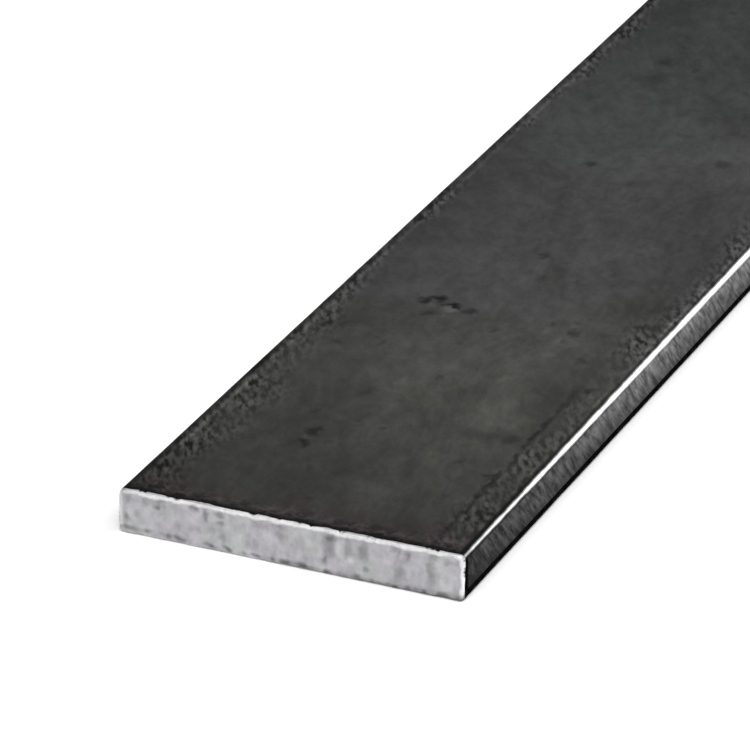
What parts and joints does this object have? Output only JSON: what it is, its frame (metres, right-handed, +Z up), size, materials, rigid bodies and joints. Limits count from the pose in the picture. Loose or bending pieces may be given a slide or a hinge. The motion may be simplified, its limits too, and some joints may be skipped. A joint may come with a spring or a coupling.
{
  "type": "steel flat bar",
  "caption": "Straight hot-rolled steel flat bar with mill-scale faces, rounded long corners and square sawn ends; raw stock for cutting, drilling and welding.",
  "frame": {"origin": "centre of the underside: halfway along the bar, on its centreline, on the surface that it rests on", "axes": "+X along the bar's length, +Y across its width, +Z up through its thickness"},
  "size_m": [1, 0.06, 0.008],
  "materials": {
    "hot_rolled_steel": "satin"
  },
  "bodies": {
    "root": {"flat_bar": "hot_rolled_steel"}
  },
  "joints": []
}
